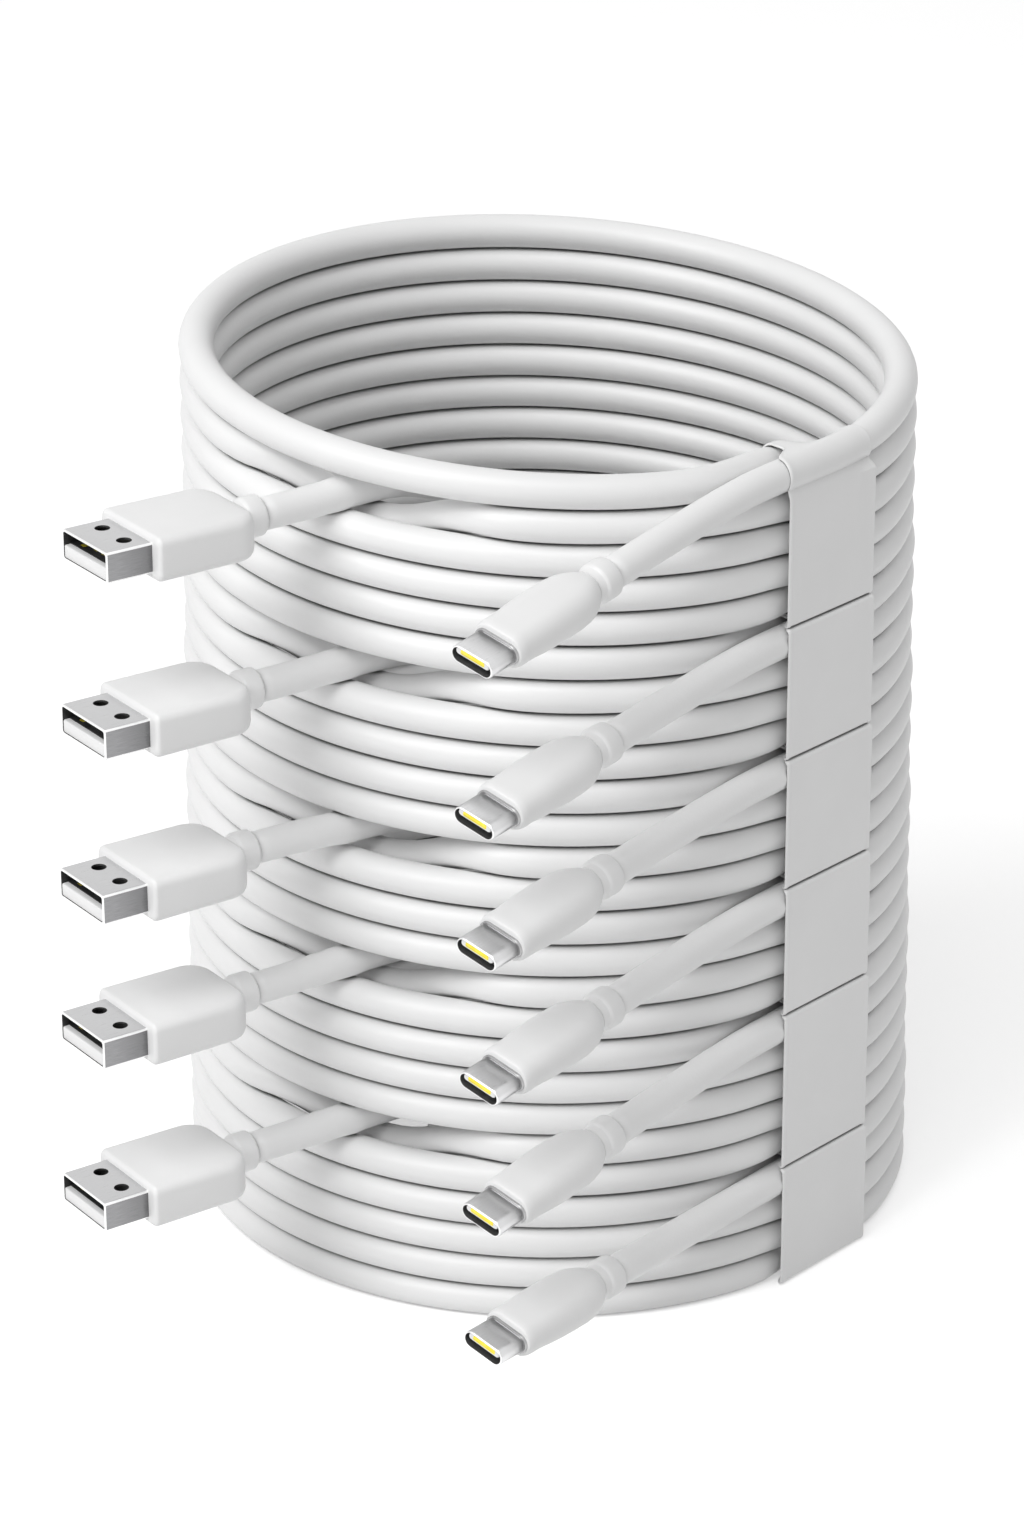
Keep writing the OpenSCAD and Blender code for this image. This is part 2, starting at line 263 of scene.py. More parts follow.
def plan(a, r):
    """The point at azimuth a and radius r, seen from above."""
    return Vector((r * sin_d(a), -r * cos_d(a)))


def azimuth(p):
    """Azimuth of a point, from -180 to 180."""
    return math.degrees(math.atan2(p[0], -p[1]))


def heading(a):
    """The direction a degrees from +X towards +Y, seen from above."""
    return Vector((cos_d(a), sin_d(a)))


def left_of(a):
    """The direction to the left of heading a."""
    return Vector((-sin_d(a), cos_d(a)))


def raised(p, z):
    return Vector((p[0], p[1], z))


# ---- the route of a cable ----


def radius(i):
    """Radius of coil i's turns."""
    return COIL_R + (i - 1) * FLARE


def pitch_at(a):
    """Height from turn to turn at azimuth a."""
    return TURN_PITCH * (1 + SPREAD / 2 * (1 - cos_d(a - WRAP_A)))


def place_z(i, place, a):
    """Height at azimuth a of a place in coil i, where 0 is its lowest turn."""
    return FLOOR_Z + (sum(TURNS[i:]) + place) * pitch_at(a) + (COILS - i) * COIL_GAP


def step(u):
    """0 to 90 while a turn steps down under the straps."""
    return 90 * ramp((u - HIDDEN_FROM) / (HIDDEN_TO - HIDDEN_FROM))


def tucked(i, a):
    """How far the first turn moves in behind the leaving cable at azimuth a."""
    if not 0 < a < HIDDEN_TO + BEHIND_FADE:
        return 0
    out = radius(i) * (1 / cos_d(max(LEAVE_A - a, 0)) - 1)
    drop = TURN_PITCH * (1 - cos_d(step(a)))
    need = math.sqrt(max(BEHIND**2 - drop**2, 0)) - out
    soft = (need + math.hypot(need, 2 * BEHIND_SOFT)) / 2
    return soft * ramp((HIDDEN_TO + BEHIND_FADE - a) / BEHIND_FADE)


def away(a):
    """0 at the straps, 1 away from them."""
    a %= 360
    return ramp(max((STRAP_FROM - a) / NEAR_STRAP, (a - STRAP_TO) / NEAR_STRAP))


def shared_gap(i, place, a):
    """Away from the straps the gap between two coils is shared among their turns."""
    turns = TURNS[i - 1]
    if i == COILS:
        return away(a) * COIL_GAP / 2 * place / turns
    return away(a) * COIL_GAP * (place - (turns - 1) / 2) / turns


def thickness(a):
    """The radius at which wound turns touch each other."""
    return CABLE_R + away(a) * ((pitch_at(a) + TURN_ROOM) / 2 - CABLE_R)


def uturn_end(i):
    """Where the CAD's turn-back ends and its USB-A lead starts."""
    centre = plan(DIVE_A, radius(i) - DIVE_IN) + UTURN_R * left_of(DIVE_A)
    return centre - UTURN_R * left_of(OUT_HEADING[i - 1])


def exit_a(i):
    """Azimuth at which the USB-A lead passes the turn that makes room for it."""
    h, p, r = OUT_HEADING[i - 1], uturn_end(i), radius(i) - SWING_IN
    across = p.dot(left_of(h))
    return azimuth(p + (math.sqrt(r * r - across * across) - p.dot(heading(h))) * heading(h))


def wound_point(i, u):
    """Middle of cable i at angle u along its winding."""
    turns, exit_turn = TURNS[i - 1], EXIT_TURN[i - 1]
    place = turns - 1
    for k in range(1, turns):
        place -= 1 - cos_d(step(u - 360 * k))
    swing = 0
    if exit_turn:
        off = abs(u - 360 * exit_turn - exit_a(i))
        swing = 90 * ramp((1 - off / SWING_A) / (1 - SWING_HOLD))
    dive = DIVE_IN * sin_d(step(u - 360 * turns))
    r = radius(i) - dive - SWING_IN * sin_d(swing) - tucked(i, u - 360)
    place += cos_d(swing) - 1
    return raised(plan(u, r), place_z(i, place, u) + shared_gap(i, place, u))


def share_at(table, x):
    """The table's second column at x, on straight lines between its rows."""
    for (x0, y0), (x1, y1) in zip(table, table[1:]):
        if x <= x1:
            return y0 + (y1 - y0) * (x - x0) / (x1 - x0)
    return table[-1][1]


def lead_c_points(i):
    """From the wall out to the USB-C plug."""
    start = plan(LEAVE_A, radius(i)) - TAIL_L * heading(LEAVE_A)
    z = place_z(i, TURNS[i - 1] - 1, LEAVE_A)
    return [
        raised(start + x * heading(C_HEADING), z - share_at(LEAD_C, x) * C_DROP[i - 1])
        for x in range(0, LEAD_C[-1][0] + 1)
    ]


def lead_a_points(i):
    """From the turn in the hollow out to the USB-A plug."""
    last = i == COILS
    table = LEAD_A_SHORT if last else [*LEAD_A, (LEAD_A_L[i - 1], 1)]
    end = table[-1][0] + (0 if last else A_FURTHER)
    h = heading(OUT_HEADING[i - 1])
    start = uturn_end(i) + CABLE_D * h
    low = place_z(i, 0, DIVE_A)
    high = A_GRIP[2] / 2 if last else place_z(i, TURNS[i - 1] - EXIT_TURN[i - 1], exit_a(i))
    points = []
    for x in [*range(0, math.ceil(end)), end]:
        raise_z = A_RAISE[i - 1] * ramp(1 + (x + A_LEVEL_L - end) / A_RAISE_L)
        points.append(raised(start + x * h, low + (high - low) * share_at(table, x) + raise_z))
    return points


def arc(points, z, start_h, end_h, r):
    """Goes on from the last point along an arc from one heading to another."""
    side = r if end_h > start_h else -r
    centre = points[-1].xy + side * left_of(start_h)
    count = max(2, round(math.radians(abs(end_h - start_h)) * r / RING_STEP * 2))
    for k in range(1, count + 1):
        points.append(raised(centre - side * left_of(start_h + (end_h - start_h) * k / count), z))


def turn_back(i, points):
    """From the end of the dive back to the line on which the CAD's USB-A lead runs out."""
    h, z = OUT_HEADING[i - 1], points[-1].z
    line = uturn_end(i).dot(left_of(h))
    if i == COILS:
        # Past its heading, straight on, and back so that it ends on the line
        arc(points, z, HIDDEN_TO, h + LAST_OVER, LAST_R)
        aside = points[-1].xy.dot(left_of(h)) + LAST_R * (1 - cos_d(LAST_OVER))
        points.append(points[-1] + (line - aside) / sin_d(LAST_OVER) * raised(heading(h + LAST_OVER), 0))
        arc(points, z, h + LAST_OVER, h, LAST_R)
        return
    # One arc, with the radius that lets it end on the line
    k = plan(HIDDEN_TO, 1).dot(left_of(h))
    arc(points, z, HIDDEN_TO, h, ((radius(i) - DIVE_IN) * k - line) / (1 + k))


def resampled(points, spacing, count=0):
    """Points evenly along a row of points, by their spacing or their count."""
    lengths = [0]
    for a, b in zip(points, points[1:]):
        lengths.append(lengths[-1] + (b - a).length)
    count = count or max(2, round(lengths[-1] / spacing))
    out, k = [], 0
    for n in range(count + 1):
        s = lengths[-1] * n / count
        while k < len(points) - 2 and lengths[k + 1] < s:
            k += 1
        span = lengths[k + 1] - lengths[k]
        out.append(points[k].lerp(points[k + 1], (s - lengths[k]) / span if span else 0))
    return out


def softened(points):
    """Takes the corners out of a row of points. The two points at each end stay."""
    for _ in range(SOFTEN_ROUNDS):
        middle = [
            points[k] * 0.5 + (points[k - 1] + points[k + 1]) * 0.25
            for k in range(2, len(points) - 2)
        ]
        points = points[:2] + middle + points[-2:]
    return points


def cable_path(i):
    """The whole centre line of cable i, from its USB-C plug to its USB-A plug."""
    points = lead_c_points(i)[::-1]
    last_u = 360 * TURNS[i - 1] + HIDDEN_TO
    points += [wound_point(i, u) for u in range(LEAVE_A, last_u + 1, WOUND_STEP)]
    turn_back(i, points)
    out = heading(OUT_HEADING[i - 1])
    passed = points[-1].xy.dot(out)
    points += [p for p in lead_a_points(i) if p.xy.dot(out) > passed + JOIN_L]
    return softened(resampled(points, RING_STEP))


# ---- mesh helpers ----

CORNER_POINTS = 6
RING_SIDES = 4 * (CORNER_POINTS + 1)
TURNED_SIDES = 40
# Length of a texture unit
UV_L = 20


def new_object(name, verts, faces, matrix=None, uv=None, sharp=None):
    """A mesh object from points in millimetres. uv gives (u, v) for a point before it is moved."""
    mesh = bpy.data.meshes.new(name)
    placed = [Vector(v) for v in verts] if matrix is None else [matrix @ Vector(v) for v in verts]
    mesh.from_pydata([v * MM for v in placed], [], faces)
    if uv:
        layer = mesh.uv_layers.new(name="along")
        for loop in mesh.loops:
            layer.data[loop.index].uv = uv(verts[loop.vertex_index])
    work = bmesh.new()
    work.from_mesh(mesh)
    bmesh.ops.recalc_face_normals(work, faces=work.faces)
    work.to_mesh(mesh)
    work.free()
    mesh.shade_smooth()
    if sharp:
        mesh.set_sharp_from_angle(angle=math.radians(sharp))
    obj = bpy.data.objects.new(name, mesh)
    bpy.context.scene.collection.objects.link(obj)
    return obj


def loft_faces(rings, sides, closed=False):
    """Quads between rings of points. closed joins the last ring to the first."""
    faces = []
    for k in range(rings if closed else rings - 1):
        a, b = k * sides, (k + 1) % rings * sides
        for n in range(sides):
            m = (n + 1) % sides
            faces.append((a + n, a + m, b + m, b + n))
    return faces


def capped(rings, sides):
    """Quads between rings of points, and a face over either end."""
    return loft_faces(rings, sides) + [
        tuple(range(sides))[::-1],
        tuple(range((rings - 1) * sides, rings * sides)),
    ]


def in_bottom_strap(p):
    """Whether p lies between the straps' edges, where the bottom film is on the floor."""
    return STRAP_FROM < azimuth(p) < STRAP_TO and math.hypot(p[0], p[1]) > COIL_R - CABLE_D


def tube(name, path, reaches):
    """A round cable along path. It is laid flat where it would pass through the floor."""
    verts = []
    for k, (p, reach) in enumerate(zip(path, reaches)):
        along = (path[min(k + 1, len(path) - 1)] - path[max(k - 1, 0)]).normalized()
        side = Vector((0, 0, 1)).cross(along).normalized()
        up = along.cross(side)
        low = FILM + FILM_ROOM if in_bottom_strap(p) else 0
        for n in range(TUBE_SIDES):
            a = 360 * n / TUBE_SIDES
            v = p + reach * (cos_d(a) * side + sin_d(a) * up)
            v.z = max(v.z, low)
            verts.append(v)
    return new_object(name, verts, capped(len(path), TUBE_SIDES))


def reaches(i, path):
    """The cable's radius at each point: wound turns are pressed together, free ends are round."""
    out = []
    for p in path:
        off = abs(math.hypot(p[0], p[1]) - radius(i))
        wound = ramp((ROUND_BEYOND - off) / (ROUND_BEYOND - PRESSED_WITHIN))
        out.append(CABLE_R + wound * (thickness(azimuth(p)) - CABLE_R))
    return out


def rounded_ring(x, half_w, half_h, r):
    """A rounded rectangle across X."""
    r = min(r, half_w, half_h)
    ring = []
    for k, (sy, sz) in enumerate(((1, 1), (-1, 1), (-1, -1), (1, -1))):
        for n in range(CORNER_POINTS + 1):
            a = 90 * k + 90 * n / CORNER_POINTS
            ring.append((x, sy * (half_w - r) + r * cos_d(a), sz * (half_h - r) + r * sin_d(a)))
    return ring


def along_uv(v):
    """u along a plug, v across it."""
    return v[0] / UV_L, (v[1] + v[2]) / UV_L


def rounded_loft(name, sections, matrix, sharp=50):
    """A closed form through rounded rectangles (x, half width, half height, corner)."""
    verts = [v for s in sections for v in rounded_ring(*s)]
    return new_object(name, verts, capped(len(sections), RING_SIDES), matrix, along_uv, sharp)


def turned(name, profile, matrix, sharp=50):
    """A round form about X through (x, radius) pairs."""
    angles = [360 * n / TURNED_SIDES for n in range(TURNED_SIDES)]
    verts = [(x, r * cos_d(a), r * sin_d(a)) for x, r in profile for a in angles]
    faces = capped(len(profile), TURNED_SIDES)
    return new_object(name, verts, faces, matrix, lambda v: (v[0] / UV_L, v[1] / UV_L), sharp)


def joined(name, parts):
    """One object made of several, each with its own materials."""
    work = bmesh.new()
    materials = []
    for part in parts:
        offset = len(materials)
        materials += list(part.data.materials)
        before = len(work.faces)
        work.from_mesh(part.data)
        work.faces.ensure_lookup_table()
        for f in work.faces[before:]:
            f.material_index += offset
    mesh = bpy.data.meshes.new(name)
    work.to_mesh(mesh)
    work.free()
    for m in materials:
        mesh.materials.append(m)
    for part in parts:
        bpy.data.objects.remove(part)
    obj = bpy.data.objects.new(name, mesh)
    bpy.context.scene.collection.objects.link(obj)
    return obj


def cut(obj, cutters, sharp=40):
    """Takes the cutters out of obj, for good. The cut faces get the cutters' materials."""
    for c in cutters:
        m = obj.modifiers.new("cut", "BOOLEAN")
        m.operation, m.object, m.solver = "DIFFERENCE", c, "EXACT"
        m.material_mode = "TRANSFER"
    bpy.context.view_layer.update()
    done = obj.evaluated_get(bpy.context.evaluated_depsgraph_get())
    mesh = bpy.data.meshes.new_from_object(done)
    obj.modifiers.clear()
    obj.data = mesh
    for c in cutters:
        bpy.data.objects.remove(c)
    mesh.shade_smooth()
    mesh.set_sharp_from_angle(angle=math.radians(sharp))
    return obj


# ---- camera ----

FRAME_W, FRAME_H = 1024, 1536
SENSOR = 36
VIEW_AZ = 2.7
VIEW_EL = 23.5
VIEW_DISTANCE = 760
VIEW_AT_Z = 65
FOCAL_PX = 4922
# Where the point that the camera looks at lies in the frame
CENTRE_PX = (549, 769.4)


def make_camera():
    data = bpy.data.cameras.new("camera")
    data.sensor_width = SENSOR
    data.lens = FOCAL_PX * SENSOR / FRAME_H
    data.shift_x = (FRAME_W / 2 - CENTRE_PX[0]) / FRAME_H
    data.shift_y = (CENTRE_PX[1] - FRAME_H / 2) / FRAME_H
    data.clip_start, data.clip_end = 0.01, 20
    cam = bpy.data.objects.new("camera", data)
    back = Vector(
        (sin_d(VIEW_AZ) * cos_d(VIEW_EL), -cos_d(VIEW_AZ) * cos_d(VIEW_EL), sin_d(VIEW_EL))
    )
    cam.location = (Vector((0, 0, VIEW_AT_Z)) + back * VIEW_DISTANCE) * MM
    cam.rotation_mode = "QUATERNION"
    cam.rotation_quaternion = (-back).to_track_quat("-Z", "Y")
    bpy.context.scene.collection.objects.link(cam)
    bpy.context.scene.camera = cam


make_camera()

# ---- materials ----


def grey(level, blue=0.0):
    """A grey, with that much more blue."""
    return level, level, level + blue


def material(name, color, rough, metal=0.0, coat=0.0):
    mat = bpy.data.materials.new(name)
    mat.use_nodes = True
    shader = mat.node_tree.nodes["Principled BSDF"]
    shader.inputs["Base Color"].default_value = (*color, 1)
    shader.inputs["Roughness"].default_value = rough
    shader.inputs["Metallic"].default_value = metal
    shader.inputs["Coat Weight"].default_value = coat
    return mat, mat.node_tree, shader


def noise(tree, scale, detail=3.0, stretch=None, source="Object"):
    """Noise in features per metre of the piece's own space or, with UV, per texture unit."""
    coord = tree.nodes.new("ShaderNodeTexCoord")
    tex = tree.nodes.new("ShaderNodeTexNoise")
    tex.inputs["Scale"].default_value = scale
    tex.inputs["Detail"].default_value = detail
    if stretch:
        mapping = tree.nodes.new("ShaderNodeMapping")
        mapping.inputs["Scale"].default_value = stretch
        tree.links.new(coord.outputs[source], mapping.inputs["Vector"])
        tree.links.new(mapping.outputs["Vector"], tex.inputs["Vector"])
    else:
        tree.links.new(coord.outputs[source], tex.inputs["Vector"])
    return tex.outputs["Fac"]


# The middle part of a noise's range, in which a tint goes from one colour to the other
TINT_FROM = 0.3
TINT_TO = 0.7


def tint(tree, shader, fac, low, high):
    """Base colour between two colours by fac."""
    band = tree.nodes.new("ShaderNodeValToRGB")
    for stop, at, color in zip(band.color_ramp.elements, (TINT_FROM, TINT_TO), (low, high)):
        stop.position = at
        stop.color = (*color, 1)
    tree.links.new(fac, band.inputs["Fac"])
    tree.links.new(band.outputs["Color"], shader.inputs["Base Color"])


def rough_by(tree, shader, fac, low, high):
    span = tree.nodes.new("ShaderNodeMapRange")
    span.inputs["To Min"].default_value, span.inputs["To Max"].default_value = low, high
    tree.links.new(fac, span.inputs["Value"])
    tree.links.new(span.outputs["Result"], shader.inputs["Roughness"])


def bump(tree, shader, fac, height, strength=1.0):
    """Bumps of fac, their height in metres."""
    node = tree.nodes.new("ShaderNodeBump")
    node.inputs["Distance"].default_value = height
    node.inputs["Strength"].default_value = strength
    tree.links.new(fac, node.inputs["Height"])
    tree.links.new(node.outputs["Normal"], shader.inputs["Normal"])


def scale_color(tree, shader, value, start, end, low, high):
    """Scales the base colour from low to high while value goes from start to end."""
    span = tree.nodes.new("ShaderNodeMapRange")
    for name, x in (("From Min", start), ("From Max", end), ("To Min", low), ("To Max", high)):
        span.inputs[name].default_value = x
    scaled = tree.nodes.new("ShaderNodeVectorMath")
    scaled.operation = "SCALE"
    tree.links.new(value, span.inputs["Value"])
    tree.links.new(shader.inputs["Base Color"].links[0].from_socket, scaled.inputs[0])
    tree.links.new(span.outputs["Result"], scaled.inputs["Scale"])
    tree.links.new(scaled.outputs["Vector"], shader.inputs["Base Color"])


# Open share of the sky within reach at which the painted shade in a gap is darkest, and at which it ends
GAP_SHUT = 0.08
GAP_OPEN = 0.55
GAP_SAMPLES = 6


def paint_gap_shade(tree, shader, reach, dark):
    """Paints shade into the base colour: scales it down where another surface lies within reach, in
    metres.
    """
    near = tree.nodes.new("ShaderNodeAmbientOcclusion")
    near.inputs["Distance"].default_value = reach
    near.samples = GAP_SAMPLES
    scale_color(tree, shader, near.outputs["AO"], GAP_SHUT, GAP_OPEN, dark, 1)


def cable_material():
    mat, tree, shader = material("cable_jacket", grey(0.84), 0.4)
    tint(tree, shader, noise(tree, 60), grey(0.825), grey(0.85))
    rough_by(tree, shader, noise(tree, 400), 0.34, 0.46)
    bump(tree, shader, noise(tree, 2600, 4), 0.00003, 0.5)
    # Painted shade between the turns, where they touch.
    paint_gap_shade(tree, shader, 0.0008, 0.15)
    return mat


def film_material():
    mat, tree, shader = material("strap_film", grey(0.81), 0.3, coat=0.15)
    tint(tree, shader, noise(tree, 90), grey(0.8), grey(0.825))
    rough_by(tree, shader, noise(tree, 300), 0.26, 0.38)
    bump(tree, shader, noise(tree, 130, 3, (1, 1, 0.35)), 0.0001, 0.25)
    # Painted shade where the film lies close to the turns.
    paint_gap_shade(tree, shader, 0.0006, 0.3)
    return mat


def grip_material():
    mat, tree, shader = material("plug_grip", grey(0.83), 0.42)
    tint(tree, shader, noise(tree, 120), grey(0.82), grey(0.845))
    rough_by(tree, shader, noise(tree, 900), 0.38, 0.5)
    bump(tree, shader, noise(tree, 5200, 3), 0.00002, 0.6)
    return mat


def shell_material(name, low, high, painted_fade=None):
    """Polished steel with fine streaks along the shell. Its last argument is what scale_color takes, to
    paint shade on it towards the grip."""
    mat, tree, shader = material(name, high, 0.28, metal=1.0)
    streaks = noise(tree, 6, 5, (1.5, 60, 1), "UV")
    tint(tree, shader, streaks, low, high)
    rough_by(tree, shader, streaks, 0.24, 0.34)
    bump(tree, shader, streaks, 0.000006, 0.3)
    if painted_fade:
        along = tree.nodes.new("ShaderNodeSeparateXYZ")
        tree.links.new(tree.nodes.new("ShaderNodeTexCoord").outputs["UV"], along.inputs["Vector"])
        scale_color(tree, shader, along.outputs["X"], *painted_fade)
    return mat


def tongue_material():
    mat, tree, shader = material("plug_tongue", grey(0.82), 0.5)
    tint(tree, shader, noise(tree, 200), grey(0.81), grey(0.84))
    bump(tree, shader, noise(tree, 4000, 3), 0.00002, 0.5)
    return mat


def gold_material():
    mat, tree, shader = material("plug_gold", (0.95, 0.78, 0.08), 0.3, metal=0.5)
    tint(tree, shader, noise(tree, 800), (0.9, 0.72, 0.05), (1.0, 0.84, 0.1))
    rough_by(tree, shader, noise(tree, 3000), 0.24, 0.38)
    return mat


# Painted shade for the insides of the plugs' mouths and the holes in the USB-A shells.
def painted_shade_material():
    mat, tree, shader = material("plug_inside_painted_shade", grey(0.03), 0.5)
    tint(tree, shader, noise(tree, 900), grey(0.02), grey(0.045))
    bump(tree, shader, noise(tree, 4000, 2), 0.00001, 0.5)
    return mat


CABLE = cable_material()
FILM_MAT = film_material()
GRIP = grip_material()
# How the painted shade on a shell gets brighter along its plug: from and to, in texture units, and the
# brightness there
SIDE_PAINTED_FADE = (1.05, 1.32, 0.85, 1.25)
SHELL_C_PAINTED_FADE = (1.17, 1.36, 0.6, 1)
# The faces of the USB-A shell are pale, its sides dark with painted shade. Edges and rims are bright on
# both shells with a painted highlight.
SHELL = shell_material("plug_shell", grey(0.56, 0.005), grey(0.62, 0.005))
SHADED_SIDE = shell_material("plug_shell_side_painted_shade", grey(0.2, 0.005), grey(0.27, 0.005), SIDE_PAINTED_FADE)
SHELL_C = shell_material("plug_shell_c", grey(0.68, 0.005), grey(0.76, 0.005), SHELL_C_PAINTED_FADE)
EDGE_HIGHLIGHT = shell_material("plug_shell_edge_painted_highlight", grey(0.9), grey(0.96))
TONGUE = tongue_material()
GOLD = gold_material()
PAINTED_SHADE = painted_shade_material()


def dress(obj, mat, body, slot, *nodes):
    """Gives a piece its material and body, and hides the CAD nodes that it stands for. Its slot is not
    used.
    """
    if mat:
        obj.data.materials.clear()
        obj.data.materials.append(mat)
    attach(obj, body)
    if nodes:
        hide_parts(*nodes)
    return obj


# ---- plugs ----


def place_on(point, *turns):
    """A matrix that puts a plug at point, turned by (axis, degrees) pairs, the last one first."""
    m = Matrix.Translation(point)
    for axis, a in turns:
        m = m @ Matrix.Rotation(math.radians(a), 4, axis)
    return m


def usb_a_grip(name, m):
    """A grip with a round shoulder at its rear, and the collar behind it."""
    length, width, height = A_GRIP
    w, h = width / 2, height / 2
    sections = [(GRIP_X, *A_REAR)]
    # Round the shoulder
    for n in range(0, 91, 10):
        x = GRIP_X + A_SHOULDER_X + A_SHOULDER_L * (1 - cos_d(n))
        narrower = A_NARROWER * (1 - sin_d(n)) + A_FIRST_NARROWER * (n == 0)
        thinner = A_THINNER * (1 - sin_d(n)) + A_FIRST_THINNER * (n == 0)
        sections.append((x, w - narrower, h - thinner, A_CORNER))
    # Round the front edge
    for n in range(0, 91, 15):
        back, smaller = A_EDGE * (1 - sin_d(n)), A_EDGE * (1 - cos_d(n))
        sections.append((A_FACE - back, w - smaller, h - smaller, A_FRONT_CORNER))
    grip = rounded_loft(name + "_body", sections, m)
    return joined(name, [grip, turned(name + "_collar", COLLAR_PROFILE, m)])


def paint_shell_light_and_shade(obj):
    """Paints light and shade on a USB-A shell: darker sides of painted shade, and a bright rim and
    corners of painted highlight.
    """
    for mat in (SHELL, EDGE_HIGHLIGHT, SHADED_SIDE):
        obj.data.materials.append(mat)
    square = 0.985
    for face in obj.data.polygons:
        if abs(face.normal.y) > square:
            face.material_index = 2
        else:
            face.material_index = 0 if abs(face.normal.z) > square else 1


def usb_a_shell(name, m):
    """A shell with four round holes and a seam."""
    length, width, height = A_SHELL
    w, h, mouth = width / 2, height / 2, A_FACE + length
    outer = [
        (A_FACE - 0.5, w, h, 0.4),
        (mouth - 0.15, w, h, 0.4),
        (mouth - 0.04, w - 0.04, h - 0.04, 0.38),
        (mouth, w - 0.12, h - 0.12, 0.35),
    ]
    shell = rounded_loft(name, outer, Matrix())
    paint_shell_light_and_shade(shell)
    bore = [(A_FACE - 1, w - WALL, h - WALL, 0.35), (mouth + 1, w - WALL, h - WALL, 0.35)]
    cutters = [rounded_loft("bore", bore, Matrix())]
    for side in (-1, 1):
        upright = place_on(Vector((A_FACE + A_HOLE_X, side * A_HOLE_Y, 0)), ("Y", 90))
        cutters.append(turned("drill", [(-4, A_HOLE_D / 2), (4, A_HOLE_D / 2)], upright))
    # The cut faces of the bore and the holes get painted shade: the shell's inside and the holes' walls
    # are dark.
    for cutter in cutters:
        cutter.data.materials.append(PAINTED_SHADE)
    tall = 0.4
    seam = [(x, A_SEAM_W / 2, tall, 0.01) for x in (A_FACE - 1, mouth + 1)]
    below = Matrix.Translation((0, A_SEAM_Y, -h - (tall - A_SEAM_DEPTH)))
    cutters.append(rounded_loft("seam", seam, below))
    shell = cut(shell, cutters)
    # The mesh is in metres, the plug's matrix in millimetres.
    shell.data.transform(Matrix.Scale(1 / MM, 4))
    shell.data.transform(m)
    shell.data.transform(Matrix.Scale(MM, 4))
    return shell


def usb_a_tongue(name, m):
    """A bar in the lower half of the mouth on a root that fills the shell."""
    length, width, height = A_SHELL
    w, h, half = width / 2 - WALL - FIT, height / 2 - WALL, A_TONGUE_H / 2
    end = A_FACE + length - 0.06
    bar = [
        (A_FACE, w, half, 0.25),
        (end - 0.2, w, half, 0.25),
        (end - 0.06, w - 0.05, half - 0.05, 0.22),
        (end, w - 0.14, half - 0.14, 0.18),
    ]
    low = rounded_loft(name + "_bar", bar, m @ Matrix.Translation((0, 0, half - h)))
    root = [(A_FACE, w, h, 0.2), (A_FACE + A_ROOT_L, w, h, 0.2)]
    return joined(name, [low, rounded_loft(name + "_root", root, m)])


def usb_a_contacts(name, m):
    """Four short bars on a dark plate on the tongue, and the dark end of the mouth behind it. The plate
    and the end are painted shade in the mouth.
    """
    length, width, height = A_SHELL
    w, h = width / 2 - WALL - FIT, height / 2 - WALL - FIT
    top = A_TONGUE_H + WALL - height / 2
    parts = []
    for k, (y, reach) in enumerate(A_PINS):
        start, end = A_FACE + A_PIN_X, A_FACE + reach
        bar = [(start, 0.5, 0.07, 0.05), (end, 0.5, 0.07, 0.05), (end + 0.15, 0.4, 0.03, 0.03)]
        parts.append(rounded_loft(f"{name}_{k}", bar, m @ Matrix.Translation((0, y, top + 0.1))))
        parts[-1].data.materials.append(GOLD)
    root = A_FACE + A_ROOT_L
    plate = [(root + 0.05, w, 0.05, 0.03), (A_FACE + length - 1, w, 0.05, 0.03)]
    parts.append(rounded_loft(name + "_plate", plate, m @ Matrix.Translation((0, 0, top + 0.06))))
    parts.append(rounded_loft(name + "_end", [(root + 0.01, w, h, 0.2), (root + 0.2, w, h, 0.2)], m))
    # The plate and the end are painted shade.
    for part in parts[-2:]:
        part.data.materials.append(PAINTED_SHADE)
    return joined(name, parts)


def usb_c_grip(name, m):
    """A grip that is widest in the middle, and the collar behind it."""
    length, width, height = C_GRIP
    w, h = width / 2, height / 2
    sections = [(GRIP_X + length * a, w * b, h * c, h * c * d) for a, b, c, d in C_GRIP_SHAPE]
    body = rounded_loft(name + "_body", sections, m, sharp=60)
    return joined(name, [body, turned(name + "_collar", COLLAR_PROFILE, m)])


def usb_c_shell(name, m):
    """A thin shell from its lip at the grip over the rim of the mouth and back inside."""
    length, width, height = C_SHELL
    mouth = C_FACE + length
    # (x, how much smaller than the shell)
    outer = [
        (C_FACE - 0.4, -C_LIP),
        (C_FACE + 0.3, -C_LIP),
        (C_FACE + 0.42, 0.08 - C_LIP),
        (C_FACE + 0.42, C_GROOVE),
        (C_FACE + 0.62, C_GROOVE),
        (C_FACE + 0.72, 0),
        (mouth - 0.35, 0),
        (mouth - 0.12, 0.04),
        (mouth, C_RIM),
    ]
    inner = [(mouth, WALL - 0.08), (mouth - 0.15, WALL), (C_FACE - 0.4, WALL)]
    sections = [(x, width / 2 - s, height / 2 - s, height / 2 - s) for x, s in outer + inner]
    verts = [v for s in sections for v in rounded_ring(*s)]
    faces = loft_faces(len(sections), RING_SIDES, closed=True)
    shell = new_object(name, verts, faces, m, along_uv, sharp=50)
    for mat in (SHELL_C, EDGE_HIGHLIGHT, PAINTED_SHADE):
        shell.data.materials.append(mat)
    # The rim lies between the last two outer rings and the first inner one. The rim gets a painted
    # highlight, and the inside painted shade.
    rim = (len(outer) - 2) * RING_SIDES
    for face in shell.data.polygons:
        if min(face.vertices) >= rim:
            face.material_index = 1 if max(face.vertices) < rim + 3 * RING_SIDES else 2
    return shell


